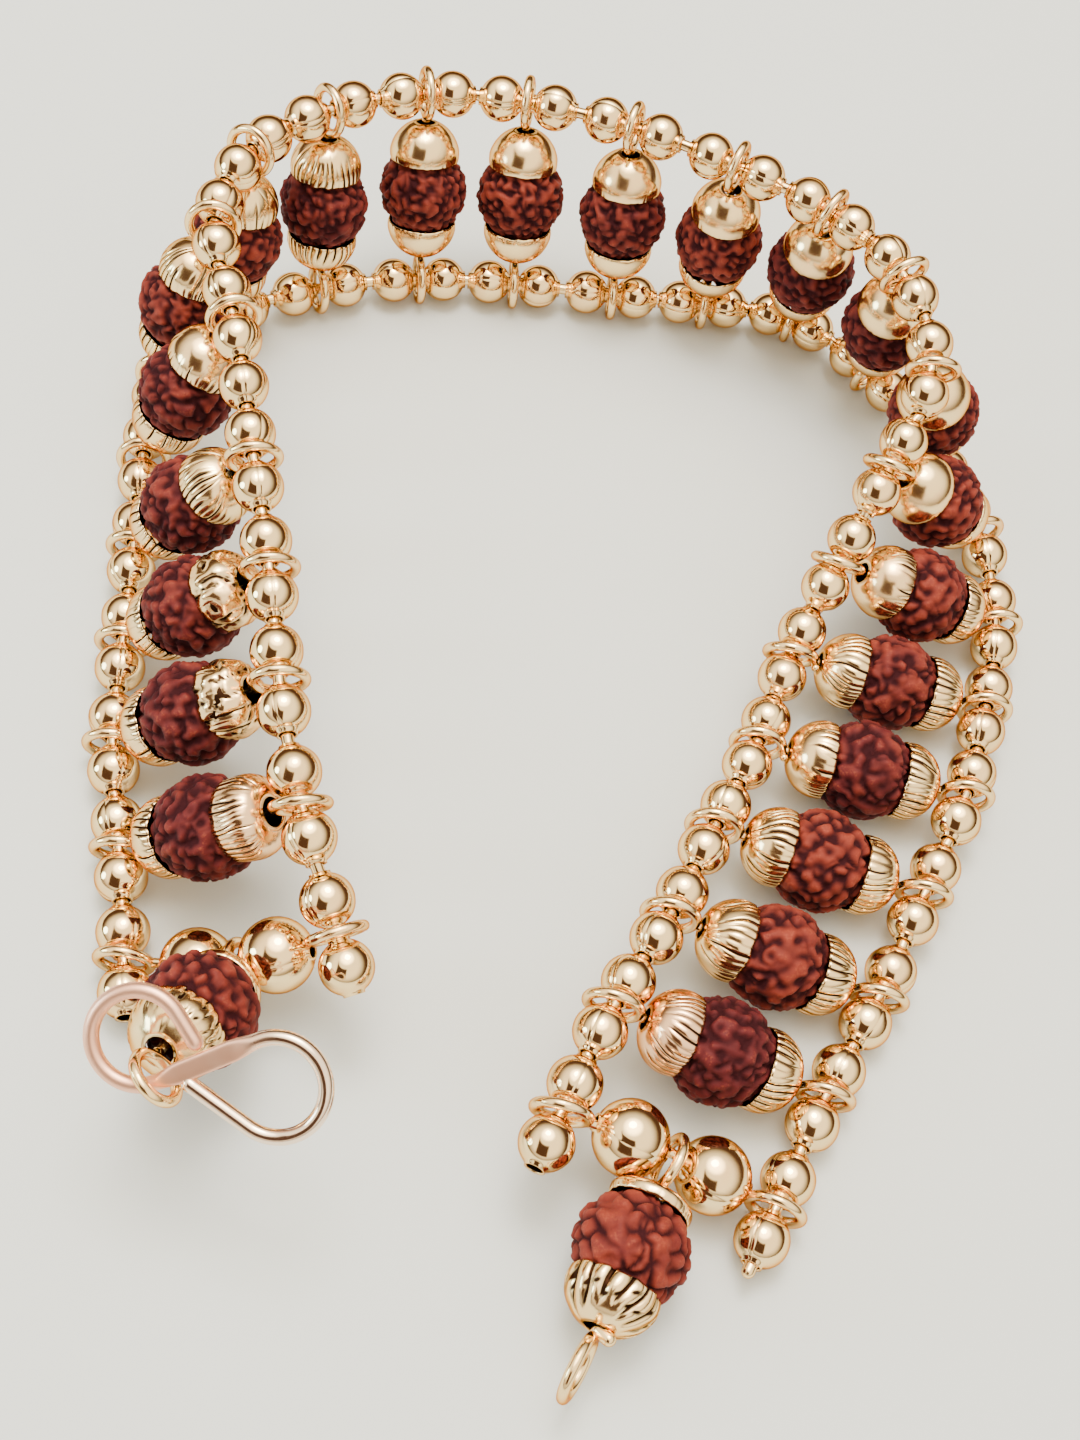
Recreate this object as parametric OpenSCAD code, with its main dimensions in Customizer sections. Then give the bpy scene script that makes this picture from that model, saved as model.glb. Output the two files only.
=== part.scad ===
// Rudraksha bead bracelet, open and lying on a table: two ball chains joined, like a ladder, by capped
// rudraksha beads, with a capped bead and a wire fastening at each end. Millimetres, z up, table at z = 0.

/* [Chains] */
// Diameter of a small ball
ball_d = 3; // [2.8:0.1:3.1]
// Bare neck between two balls
neck_gap = 0.45; // [0.35:0.05:0.5]
// Space between the balls on either side of a ring
ring_gap = 0.62; // [0.5:0.02:0.7]
// Diameter of the wire that the balls are threaded on
thread_d = 0.72; // [0.5:0.02:0.8]

/* [Rungs] */
// Distance between the two chains, from ring to ring
rung_len = 13.1; // [12.9:0.1:13.4]
// Largest diameter of a rudraksha bead
bead_d = 6.2; // [5.9:0.1:6.2]
// Length of a rudraksha bead along its hole
bead_len = 6.1; // [5.8:0.1:6.1]
// Length of a cap along the bead's hole
cap_len = 2.4; // [2.2:0.1:2.5]
// Diameter of a cap at its rim
cap_d = 4.8; // [4.6:0.1:5]
// Diameter of a ring, measured between the middles of its wire
ring_d = 2.9; // [2.7:0.1:3]
// Diameter of a ring's wire
ring_wire_d = 0.6; // [0.5:0.05:0.65]

/* [Ends] */
// Diameter of the larger balls on the two end rungs
end_ball_d = 4.15; // [3.85:0.05:4.2]
// Distance from a larger ball's middle to the bend in its pin
end_ball_reach = 2.48; // [2.44:0.02:2.52]
// Length of an end rung, from ring to ring
end_rung_len = 12.8; // [12.7:0.1:13]
// Largest diameter of the fastening's two rudraksha beads
end_bead_d = 6.5; // [6.2:0.1:6.5]
// Length of the fastening's rudraksha beads along the hole
end_bead_len = 5.9; // [5.6:0.1:5.9]

/* [Hook and eye] */
// Diameter of the hook's wire
hook_wire_d = 0.8; // [0.7:0.05:0.85]
// Width of the hook's flattened middle
hook_bar_w = 1.05; // [0.8:0.05:1.1]
// Distance between the middles of the hook's two loops
hook_span = 7.1; // [6.9:0.1:7.4]
// Radius of the loop that hangs in the ring
hook_closed_r = 2.3; // [2.2:0.05:2.4]
// Radius of the loop that the eye goes onto
hook_open_r = 2.4; // [2.3:0.05:2.5]
// Diameter of the eye that the hook takes, between the middles of its wire
eye_d = 3.2; // [2.8:0.1:3.2]

/* [Hidden] */
// Lay of the bracelet, a row for each rung from the hook end to the eye end: where the ring on the lower
// chain stands, how many degrees the rung leans from upright, and the direction that it leans to.
X = 0;
Y = 1;
LEAN = 2;
TOWARDS = 3;
LAY = [
    // x, y, lean, towards
    [-19.25, -22.0, 63, 8],
    [-21.5, -15.5, 51, 4],
    [-24.0, -9.0, 48, 7],
    [-25.5, -2.0, 43, 5],
    [-27.0, 5.0, 36, 3],
    [-28.5, 12.0, 28, 28],
    [-29.5, 19.0, 18, 32],
    [-27.0, 25.5, 12, 57],
    [-21.5, 30.0, 14, 95],
    [-15.0, 33.0, 20, 105],
    [-8.5, 34.5, 18, 105],
    [-1.5, 35.5, 10, 110],
    [5.0, 36.5, 3, 260],
    [11.5, 37.0, 14, 269],
    [17.5, 33.5, 17, 257],
    [22.5, 27.5, 26, 235],
    [26.0, 21.0, 46, 208],
    [27.5, 13.5, 65, 191],
    [27.0, 6.5, 80, 183],
    [26.0, -0.5, 85, 181],
    [24.0, -7.5, 81, 179],
    [22.0, -14.5, 76, 177],
    [19.5, -21.0, 73, 176],
    [17.5, -27.8, 73, 174],
];
// Middle of the bracelet's footprint in the table above, which becomes the origin
FOOTPRINT = [-1.01, 0.11];

// The two ends of the bracelet. Each has a bend that pulls the end rung's pin out of line, a fastening bead
// that hangs on the bend, and a wire loop beyond the bead's front cap.
BEND = 0;
BEAD_TURN = 1;
BEAD_RISE = 2;
BEAD_REACH = 3;
LOOP_TURN = 4;
LOOP_RISE = 5;
LOOP_ROLL = 6;
LOOP_D = 7;
LOOP_REACH = 8;
END = [
    // bend, bead's turn, rise and reach, loop's turn, rise, roll, diameter and reach
    [[0.8, -0.3, -1.5], 256, 36, 5.35, 284, 28, -45, 2.7, 0.55],
    [[0.1, 0.6, -0.4], 256, 2, 5.62, 253, -14, -8, eye_d, 0.4],
];
HOOK = 0;
EYE = 1;
// Tilts of the hook's plane about x and y, and the turn of its line of loops
HOOK_TILT = [38, -7, -10];

// Rung stretch of the upper chain that has three balls where every other stretch has two
LONG_STRETCH = 4;
BALLS = 2;

// Gaps: between a ball and what runs through it, under the lowest bead, and between a bead and its pin
clearance = 0.11;
floor_gap = 0.1;
bore_gap = 0.2;

// Pins and threads
pin_d = ring_wire_d - 0.05;
bend_overlap = 0.1;
thread_inset = 0.4;
wire_sides = 6;

// Rudraksha beads: the hole, the facets, and how deep the mouths and lumps are as a share of the radius
bead_hole_d = pin_d + 2 * bore_gap;
bead_sides = 16;
bead_bands = 11;
bead_mouths = 5;
mouth_depth = 0.03;
lump_depth = 0.045;
end_bead_seed = 100;

// Caps. A rim is the distance from the bead's middle to the rim of a cap.
cap_wall = 0.22;
cap_hole_d = 1.3;
cap_rim = 2.27;
cap_steps = 10;
back_cap_len = 0.9;
back_cap_d = 4.6;
back_rim = 2.35;
front_cap_len = 2.3;
front_cap_d = 5.1;
front_hole_d = 1.6;
front_rim = 2.15;

// Ring between an end rung and its fastening bead, and how far it dips into the back cap's hole
back_ring_d = 3;
ring_dip = 0.04;

// Hook: where its two loops start and end, how long their straight ends are, the thickness of the flattened
// bar, the place on the closed loop that the ring hangs from and how low it hangs there
closed_from = 50;
open_to = -107;
tip_len = 1.6;
tail_len = 3.5;
bar_thin = 0.55;
ring_seat = 309;
hook_drop = 0.35;
arc_steps = 18;
bar_steps = 5;
$fn = 48;

LAST = len(LAY) - 1;
RUNG_BEADS = [for (i = [1:LAST - 1]) str("rudraksha_", i < 10 ? "0" : "", i)];

function unit(v) = v / norm(v);
function heading(turn, rise) = [cos(turn) * cos(rise), sin(turn) * cos(rise), sin(rise)];
function square_to(v, axis) = unit(v - (v * axis) * axis);

// Rungs: from the ring on the lower chain to the ring on the upper one. A rung that lies nearly flat is
// lifted until its bead clears the table.
function rung_way(i) = heading(LAY[i][TOWARDS], 90 - LAY[i][LEAN]);
function low_rise(i) =
    max((ring_d + ring_wire_d) / 2, bead_d / 2 + floor_gap - rung_len / 2 * cos(LAY[i][LEAN]));
function low_ring(i) = [LAY[i][X] - FOOTPRINT[X], LAY[i][Y] - FOOTPRINT[Y], low_rise(i)];
function span(i) = i == 0 || i == LAST ? end_rung_len : rung_len;
LOW = [for (i = [0:LAST]) low_ring(i)];
HIGH = [for (i = [0:LAST]) LOW[i] + span(i) * rung_way(i)];
function bend_of(i) = i == 0 ? END[HOOK][BEND] : i == LAST ? END[EYE][BEND] : [0, 0, 0];
function rung_middle(i) = (LOW[i] + HIGH[i]) / 2 + bend_of(i);
function run(p, i) = i == 0 ? p[1] - p[0] : i == LAST ? p[LAST] - p[LAST - 1] : (p[i + 1] - p[i - 1]) / 2;

// A chain's necks, each with half the gap that is left there. The rings sit on every neck that ends a
// stretch, and a smooth bow through the rings places the necks between them.
function bow(p, i, t) =
    (2 * t ^ 3 - 3 * t ^ 2 + 1) * p[i] + (t ^ 3 - 2 * t ^ 2 + t) * run(p, i)
    + (3 * t ^ 2 - 2 * t ^ 3) * p[i + 1] + (t ^ 3 - t ^ 2) * run(p, i + 1);
function end_neck(p, i, side) =
    [p[i] + side * unit(run(p, i)) * (ring_gap / 2 + ball_d + neck_gap / 2), neck_gap / 2];
function necks(p, long_stretch) = concat(
    [end_neck(p, 0, -1)],
    [
        for (i = [0:LAST - 1])
            let (balls = i == long_stretch ? BALLS + 1 : BALLS)
                for (k = [0:balls - 1])
                    [bow(p, i, k / balls), (k == 0 ? ring_gap : neck_gap) / 2]
    ],
    [[p[LAST], ring_gap / 2], end_neck(p, LAST, 1)]
);
LOW_NECKS = necks(LOW, -1);
HIGH_NECKS = necks(HIGH, LONG_STRETCH);
function ball_way(n, k) = unit(n[k + 1][0] - n[k][0]);
function ball_middle(n, k) =
    (n[k][0] + n[k][1] * ball_way(n, k) + n[k + 1][0] - n[k + 1][1] * ball_way(n, k)) / 2;

// Threads run from neck to neck and stop a little inside the end balls, or stand out as a nub.
function thread(n, nub) =
    let (
        last = len(n) - 2,
        reach = ball_d / 2 - thread_inset,
        start = ball_middle(n, 0) - reach * ball_way(n, 0),
        end = ball_middle(n, last) + (nub ? ball_d / 2 + thread_inset : reach) * ball_way(n, last)
    )
        [for (p = concat([start], [for (k = [1:last]) n[k][0]], [end])) [p, thread_d, thread_d]];

// Sweep of a wire along rows of [point, width, thickness], with the width square to up
function aim(rows, i) =
    unit(
        (i == 0 ? [0, 0, 0] : unit(rows[i][0] - rows[i - 1][0]))
        + (i == len(rows) - 1 ? [0, 0, 0] : unit(rows[i + 1][0] - rows[i][0]))
    );
module wire(rows, up = [0, 0, 1]) {
    last = len(rows) - 1;
    points = [
        for (i = [0:last])
            let (side = unit(cross(aim(rows, i), up)), over = cross(side, aim(rows, i)))
                for (j = [0:wire_sides - 1])
                    let (a = 360 * j / wire_sides)
                        rows[i][0] + rows[i][1] / 2 * cos(a) * side + rows[i][2] / 2 * sin(a) * over
    ];
    walls = [
        for (i = [0:last - 1], j = [0:wire_sides - 1])
            let (a = i * wire_sides + j, b = i * wire_sides + (j + 1) % wire_sides)
                [a, a + wire_sides, b + wire_sides, b]
    ];
    start = [for (j = [0:wire_sides - 1]) j];
    end = [for (j = [0:wire_sides - 1]) last * wire_sides + wire_sides - 1 - j];
    polyhedron(points, concat(walls, [start, end]));
}

// Draws its children with their z along way and their x as near to side as it can be
module set_on(middle, way, side = [0, 0, 1]) {
    x = square_to(side, way);
    y = cross(way, x);
    multmatrix([
        [x[0], y[0], way[0], middle[0]],
        [x[1], y[1], way[1], middle[1]],
        [x[2], y[2], way[2], middle[2]],
        [0, 0, 0, 1],
    ])
        children();
}

// A drilled ball, its hole along z
module ball(d, hole_d) {
    difference() {
        sphere(d = d);
        cylinder(d = hole_d, h = d + 1, center = true);
    }
}

// A rudraksha bead, its hole along z: a flattened ball with five shallow mouths and a lumpy skin
module rudraksha(d, length, seed) {
    rim = asin(bead_hole_d / d);
    lumps = rands(0, 1, bead_sides * (bead_bands + 1), seed);
    points = [
        for (k = [0:bead_bands], j = [0:bead_sides - 1])
            let (
                fall = rim + (180 - 2 * rim) * k / bead_bands,
                turn = 360 * j / bead_sides,
                mouth = mouth_depth * (1 + cos(bead_mouths * turn)) / 2,
                lump = lump_depth * lumps[k * bead_sides + j],
                size = k == 0 || k == bead_bands ? 1 : 1 - mouth - lump
            )
                [
                    size * d / 2 * sin(fall) * cos(turn),
                    size * d / 2 * sin(fall) * sin(turn),
                    size * length / 2 * cos(fall),
                ]
    ];
    count = len(points);
    faces = [
        for (k = [0:bead_bands], j = [0:bead_sides - 1])
            let (
                a = k * bead_sides + j,
                b = k * bead_sides + (j + 1) % bead_sides,
                c = (a + bead_sides) % count,
                e = (b + bead_sides) % count
            )
                each [[a, b, c], [b, e, c]]
    ];
    polyhedron(points, faces);
}

// A domed cap of thin metal with its rim at z = 0 and the pin's hole at the top
module cap(d, length, hole_d) {
    rim_r = d / 2;
    hole_r = hole_d / 2;
    outer_end = acos(hole_r / rim_r);
    inner_end = acos(hole_r / (rim_r - cap_wall));
    rise = length / sin(outer_end);
    outer = [for (k = [0:cap_steps]) let (a = outer_end * k / cap_steps) [rim_r * cos(a), rise * sin(a)]];
    inner = [
        for (k = [cap_steps:-1:0])
            let (a = inner_end * k / cap_steps) [(rim_r - cap_wall) * cos(a), (rise - cap_wall) * sin(a)]
    ];
    rotate_extrude()
        polygon(concat(outer, inner));
}

module ring(middle, axis, d) {
    set_on(middle, axis)
        rotate_extrude()
            translate([d / 2, 0])
                circle(d = ring_wire_d);
}

// A straight length of a pin, which can run a little past its end to overlap the next length
module pin(from, to, overlap = 0) {
    set_on(from, unit(to - from))
        cylinder(d = pin_d, h = norm(to - from) + overlap);
}

module chain_balls(n) {
    for (k = [0:len(n) - 2])
        set_on(ball_middle(n, k), ball_way(n, k))
            ball(ball_d, thread_d + 2 * clearance);
}
module upper_chain_balls() {
    color("gold")
        chain_balls(HIGH_NECKS);
}
module lower_chain_balls() {
    color("gold")
        chain_balls(LOW_NECKS);
}
module upper_chain_wire() {
    color("goldenrod")
        wire(thread(HIGH_NECKS, false));
}
module lower_chain_wire() {
    color("goldenrod")
        wire(thread(LOW_NECKS, true));
}

module rung_rudraksha(i) {
    color("sienna")
        set_on(rung_middle(i), rung_way(i), run(LOW, i))
            rudraksha(bead_d, bead_len, i);
}
module rung_caps(flip) {
    for (i = [1:LAST - 1])
        set_on(rung_middle(i), flip * rung_way(i), run(LOW, i))
            translate([0, 0, cap_rim])
                cap(cap_d, cap_len, cap_hole_d);
}
module lower_caps() {
    color("palegoldenrod")
        rung_caps(-1);
}
module upper_caps() {
    color("palegoldenrod")
        rung_caps(1);
}
module rung_pin(i) {
    low_way = unit(rung_middle(i) - LOW[i]);
    high_way = unit(HIGH[i] - rung_middle(i));
    from = LOW[i] + ring_d / 2 * low_way;
    to = HIGH[i] - ring_d / 2 * high_way;
    ring(LOW[i], square_to(run(LOW, i), low_way), ring_d);
    ring(HIGH[i], square_to(run(HIGH, i), high_way), ring_d);
    if (i > 0 && i < LAST) {
        pin(from, to);
    } else {
        pin(from, rung_middle(i), bend_overlap);
        pin(to, rung_middle(i), bend_overlap);
    }
}
module rung_pins() {
    color("goldenrod")
        for (i = [1:LAST - 1])
            rung_pin(i);
}
module end_pins() {
    color("goldenrod")
        for (i = [0, LAST])
            rung_pin(i);
}
module end_ball(i, end) {
    way = unit(end - rung_middle(i));
    color("gold")
        set_on(rung_middle(i) + end_ball_reach * way, way)
            ball(end_ball_d, pin_d + 2 * clearance);
}

// The fastening beads, one for each row of END
function end_rung(e) = e == HOOK ? 0 : LAST;
function end_way(e) = heading(END[e][BEAD_TURN], END[e][BEAD_RISE]);
function end_middle(e) = rung_middle(end_rung(e)) + END[e][BEAD_REACH] * end_way(e);
function back_pole(e) = end_middle(e) - (back_rim + back_cap_len) * end_way(e);
function front_pole(e) = end_middle(e) + (front_rim + front_cap_len) * end_way(e);
function loop_way(e) = heading(END[e][LOOP_TURN], END[e][LOOP_RISE]);
function loop_foot(e) = front_pole(e) + END[e][LOOP_REACH] * loop_way(e);
function loop_middle(e) = loop_foot(e) + END[e][LOOP_D] / 2 * loop_way(e);
function loop_axis(e) =
    let (level = unit(cross(loop_way(e), [0, 0, 1])), roll = END[e][LOOP_ROLL])
        cos(roll) * level + sin(roll) * cross(level, loop_way(e));
module end_rudraksha(e) {
    color("sienna")
        set_on(end_middle(e), end_way(e))
            rudraksha(end_bead_d, end_bead_len, end_bead_seed + e);
}
module end_caps(e) {
    color("palegoldenrod") {
        set_on(front_pole(e) - front_cap_len * end_way(e), end_way(e))
            cap(front_cap_d, front_cap_len, front_hole_d);
        set_on(back_pole(e) + back_cap_len * end_way(e), -end_way(e))
            cap(back_cap_d, back_cap_len, cap_hole_d);
    }
}
module fastening_pin(e) {
    back_middle = back_pole(e) - ((back_ring_d + ring_wire_d) / 2 - ring_dip) * end_way(e);
    rung = unit(HIGH[end_rung(e)] - LOW[end_rung(e)]);
    color("goldenrod") {
        ring(back_middle, square_to(rung, end_way(e)), back_ring_d);
        ring(loop_middle(e), loop_axis(e), END[e][LOOP_D]);
        pin(back_middle + back_ring_d / 2 * end_way(e), front_pole(e), bend_overlap);
        pin(loop_foot(e), front_pole(e), bend_overlap);
    }
}

// The hook lies in a plane, drawn here round the middle of its closed loop: a loop, a flattened bar that
// crosses to the other side, and the open loop the other way round
function arc(middle, r, from, to) =
    [for (k = [0:arc_steps]) middle + r * heading(from + (to - from) * k / arc_steps, 0)];
module s_hook() {
    bar_turn = asin((hook_closed_r + hook_open_r) / hook_span);
    closed = arc([0, 0, 0], hook_closed_r, closed_from, 270 + bar_turn);
    open = arc([hook_span, 0, 0], hook_open_r, 90 + bar_turn, open_to);
    tip = closed[0] + tip_len * heading(closed_from - 90, 0);
    tail = open[arc_steps] + tail_len * heading(open_to - 90, 0);
    bar = [for (k = [1:bar_steps - 1]) closed[arc_steps] + (open[0] - closed[arc_steps]) * k / bar_steps];
    round_wire = function(path) [for (p = path) [p, hook_wire_d, hook_wire_d]];
    seat = hook_closed_r * heading(ring_seat, 0);
    color("rosybrown")
        translate(loop_middle(HOOK) + hook_drop * loop_way(HOOK))
            rotate([HOOK_TILT[0], HOOK_TILT[1], 0])
                rotate(HOOK_TILT[2])
                    translate(-seat)
                        wire(concat(
                            round_wire(concat([tip], closed)),
                            [for (p = bar) [p, hook_bar_w, bar_thin]],
                            round_wire(concat(open, [tail]))
                        ));
}

for (i = [1:LAST - 1])
    rung_rudraksha(i);
upper_chain_balls();
upper_chain_wire();
lower_chain_balls();
lower_chain_wire();
lower_caps();
upper_caps();
rung_pins();
end_pins();
end_ball(0, LOW[0]);  // hook_end_ball_low
end_ball(0, HIGH[0]);  // hook_end_ball_high
end_rudraksha(HOOK);  // hook_rudraksha
end_caps(HOOK);  // hook_caps
fastening_pin(HOOK);  // hook_pin
s_hook();
end_ball(LAST, LOW[LAST]);  // eye_end_ball_low
end_ball(LAST, HIGH[LAST]);  // eye_end_ball_high
end_rudraksha(EYE);  // eye_rudraksha
end_caps(EYE);  // eye_caps
fastening_pin(EYE);  // eye_pin
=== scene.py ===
import math
from collections import namedtuple

import bpy
import numpy as np
from bpy.props import FloatProperty, FloatVectorProperty, PointerProperty
from bpy.types import Operator, Panel, PropertyGroup
from mathutils import Matrix, Vector


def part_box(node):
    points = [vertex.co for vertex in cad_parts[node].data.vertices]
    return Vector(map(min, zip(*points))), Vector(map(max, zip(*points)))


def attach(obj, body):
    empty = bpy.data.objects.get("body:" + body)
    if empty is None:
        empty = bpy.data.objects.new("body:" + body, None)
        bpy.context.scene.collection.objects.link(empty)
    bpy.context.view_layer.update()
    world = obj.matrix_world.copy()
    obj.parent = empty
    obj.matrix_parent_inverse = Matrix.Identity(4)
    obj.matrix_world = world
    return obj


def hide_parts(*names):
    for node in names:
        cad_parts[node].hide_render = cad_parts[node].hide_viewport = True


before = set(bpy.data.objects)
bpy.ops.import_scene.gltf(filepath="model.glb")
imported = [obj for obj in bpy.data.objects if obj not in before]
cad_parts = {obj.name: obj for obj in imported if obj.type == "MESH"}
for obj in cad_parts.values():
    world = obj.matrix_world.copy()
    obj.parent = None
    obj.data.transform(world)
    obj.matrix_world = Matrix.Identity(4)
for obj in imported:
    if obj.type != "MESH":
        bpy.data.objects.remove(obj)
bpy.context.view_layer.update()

bl_info = {
    "name": "Rudraksha bead bracelet",
    "version": (1, 0, 0),
    "blender": (4, 5, 0),
    "location": "3D View > Sidebar > Bracelet",
    "description": "Beads, caps, balls, wires and hook of a ladder bracelet, and the stage that it lies on",
    "category": "Object",
}

MM = 0.001
BODY = "root"
TURN = 2 * math.pi
UP = (0, 0, 1)

# The photograph's camera: its frame and focal length in pixels, and how it stands over the bracelet
PHOTO_HEIGHT = 1440
FOCAL_LENGTH = 1815.3
CAMERA_ELEVATION = math.radians(57.13)
CAMERA_ROLL = math.radians(12.31)
CAMERA_DISTANCE = 111.76 * MM
CAMERA_TARGET = Vector((0.99, -0.06, 0)) * MM
CAMERA_NEAR = 1 * MM

# The room's light: the ways to the middle of the pale sky and of the glow overhead, and the edges of both,
# as cosines of the angle from that way
SKY_WAY = (0, -0.26, 0.97)
SKY_EDGE = (0.1, 0.72)
GLOW_WAY = (-0.05, 0.2, 0.98)
GLOW_EDGE = (0.86, 0.99)
# The dark flag on the camera's side: its middle, reach and soft edge, across and up, and its front's edge
FLAG_X = (-0.2, 0.32, 0.06)
FLAG_Z = (0.56, 0.26, 0.06)
FLAG_FRONT = (0, 0.1)
# Colours and places of the two soft lights, and the width of each
KEY_COLOR = (1, 0.96, 0.9)
KEY_PLACE = (-0.02, 0.07, 0.32)
FILL_COLOR = (0.7, 0.93, 1)
FILL_PLACE = (-0.3, -0.1, 0.1)
LIGHT_WIDTH = 0.12
# How far the floor reaches each way, and how bright its darker patches are beside the rest
FLOOR_REACH = 3.0
FLOOR_SHADE = 0.93

# How dark each rudraksha bead is, in tenths, with a digit for each rung from the hook to the eye
TONE_STEPS = 10
RUNG_TONES = "7766633642536643457249"
END_TONES = {"hook": 5, "eye": 4}
# How large each bead's lumps are, in eighths of the usual size
LUMP_STEPS = 8
RUNG_LUMPS = "8888877777777788999998"
END_LUMPS = {"hook": 9, "eye": 11}
# How dark the hollows between the lumps are painted, as painted shade
RUNG_HOLLOW_SHADE = 1.2
END_HOLLOW_SHADE = {"hook": 1.0, "eye": 0.4}

# Sizes of the solids that the pieces go round: bores, the chains' wire, and how far from the last ball's
# middle its nub reaches
BALL_BORE = 0.94 * MM
PIN_BORE = 0.77 * MM
BEAD_BORE = 0.95 * MM
THREAD = 0.72 * MM
NUB = 1.86 * MM
# The hook's wire, its bar's width and thickness, how far apart its loops' middles are, and their radii
HOOK_WIRE = 0.8 * MM
HOOK_BAR = (1.05 * MM, 0.55 * MM)
HOOK_SPAN = 7.1 * MM
CLOSED_LOOP = 2.3 * MM
OPEN_LOOP = 2.4 * MM
# The angles in degrees where its loops end, its straight ends after them, and how it is tilted
CLOSED_FROM = 50
OPEN_TO = -107
HOOK_TIP = 1.6 * MM
HOOK_TAIL = 3.5 * MM
HOOK_TILT = (38, -7, -10)

# A cap's middle is its rim's, and its way is out of the bead
Cap = namedtuple("Cap", "middle way length radius hole")
Bead = namedtuple("Bead", "middle way radius half_length")
# Points in rows and columns, how much painted shade or satin each has, and whether the last row meets the
# first
Grid = namedtuple("Grid", "points mark closed")
# A value that varies over a surface: its middle, its swing, and the size and number of its waves
Wave = namedtuple("Wave", "middle swing size count")


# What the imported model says

# Points of a solid that agree to this many decimals of a metre are one
WELD_DECIMALS = 7


def solids(node):
    """The loose solids of a CAD node, each an array of its points."""
    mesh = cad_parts[node].data
    points = np.empty(3 * len(mesh.vertices), np.float32)
    mesh.vertices.foreach_get("co", points)
    points = points.reshape(-1, 3).round(WELD_DECIMALS)
    spots, spot_of = np.unique(points, axis=0, return_inverse=True)
    ends = np.empty(2 * len(mesh.edges), np.int32)
    mesh.edges.foreach_get("vertices", ends)
    ends = spot_of.ravel()[ends].reshape(-1, 2)
    label = np.arange(len(spots))
    while True:
        lowest = label[ends].min(1)
        spread = label.copy()
        np.minimum.at(spread, ends[:, 0], lowest)
        np.minimum.at(spread, ends[:, 1], lowest)
        spread = spread[spread]
        if (spread == label).all():
            return [spots[label == k].astype(float) for k in np.unique(label)]
        label = spread


def unit(vector):
    return np.asarray(vector, float) / np.linalg.norm(vector)


def square_to(vector, way):
    """The part of a vector that is square to way, as a unit vector."""
    vector = np.asarray(vector, float)
    return unit(vector - (vector @ way) * way)


def basis(way, side):
    """Three unit rows: x as near to side as it can be, y, and z along way."""
    x = square_to(side, way)
    return np.array([x, np.cross(way, x), way])


def along_and_across(points, middle, way):
    """How far points lie along an axis, and how far off it."""
    along = (points - middle) @ way
    return along, np.linalg.norm(points - middle - np.outer(along, way), axis=1)


def ball_through(points):
    """The middle and radius of the ball whose skin the points lie on."""
    sums = np.c_[2 * points, np.ones(len(points))]
    fit = np.linalg.lstsq(sums, (points**2).sum(1), rcond=None)[0]
    return fit[:3], math.sqrt(fit[3] + fit[:3] @ fit[:3])


def measured_bead(node, way, on_axis):
    """A rudraksha bead's middle, moved onto its axis, and its size."""
    points = np.concatenate(solids(node))
    middle = on_axis + ((points.mean(0) - on_axis) @ way) * way
    along, across = along_and_across(points, middle, way)
    return Bead(middle, way, across.max(), np.ptp(along) / 2)


def measured_cap(points, middle, way):
    """A cap's rim and size, with way out of the bead."""
    along, across = along_and_across(points, middle, way)
    return Cap(middle + along.min() * way, way, np.ptp(along), across.max(), across.min())


def nearest(options, point):
    return min(options, key=lambda points: np.linalg.norm(points.mean(0) - point))


def measured_rung(node, lower_caps, upper_caps):
    """A rung's bead, its lower cap and its upper cap."""
    rough = np.concatenate(solids(node)).mean(0)
    low, high = nearest(lower_caps, rough), nearest(upper_caps, rough)
    way = unit(high.mean(0) - low.mean(0))
    bead = measured_bead(node, way, (low.mean(0) + high.mean(0)) / 2)
    return bead, measured_cap(low, bead.middle, -way), measured_cap(high, bead.middle, way)


def measured_end(bead_node, cap_node):
    """A fastening's bead, its front cap, which is the longer one, and its back cap."""
    back, front = sorted(solids(cap_node), key=len_of_box)
    way = unit(front.mean(0) - back.mean(0))
    bead = measured_bead(bead_node, way, back.mean(0))
    return bead, measured_cap(front, bead.middle, way), measured_cap(back, bead.middle, -way)


def len_of_box(points):
    return np.linalg.norm(np.ptp(points, axis=0))


def measured_chain(node):
    """The middles of a chain's balls in order from the hook end, and their radius."""
    balls = [ball_through(points) for points in solids(node)]
    left = [middle for middle, radius in balls]
    hook = np.array(sum(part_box("s_hook"), Vector())) / 2
    line = [min(left, key=lambda middle: np.linalg.norm(middle - hook))]
    while left:
        left = [middle for middle in left if middle is not line[-1]]
        if left:
            line.append(min(left, key=lambda middle: np.linalg.norm(middle - line[-1])))
    return np.array(line), balls[0][1]


def ways_along(line):
    """The direction of a line at each of its points."""
    return [unit(step) for step in np.gradient(line, axis=0)]


RUNG_NODES = sorted(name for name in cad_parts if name.startswith("rudraksha_"))
LOWER_CAP_SOLIDS = solids("lower_caps")
UPPER_CAP_SOLIDS = solids("upper_caps")
RUNGS = [measured_rung(node, LOWER_CAP_SOLIDS, UPPER_CAP_SOLIDS) for node in RUNG_NODES]
ENDS = {end: measured_end(f"{end}_rudraksha", f"{end}_caps") for end in ("hook", "eye")}


# Mesh helpers

# Each wave of a ripple is closer or wider than the rest by a factor between these
RIPPLE_SPREAD = (0.8, 1.25)
# Points round a wire, rows that round each end of it off, and the share of its width left at the tip
WIRE_SIDES = 16
END_ROWS = 5
TIP_SHARE = 0.02
# The power that makes a wire's section an ellipse
ELLIPSE = 2.0


def ripples(points, size, count, rng):
    """A smooth random value, mostly from -1 to 1, at each point, with waves of about that size."""
    ways = rng.normal(size=(count, 3))
    ways *= (TURN / size / np.linalg.norm(ways, axis=1) * rng.uniform(*RIPPLE_SPREAD, count))[:, None]
    return np.sin(points @ ways.T + rng.uniform(0, TURN, count)).sum(-1) / math.sqrt(count)


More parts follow.
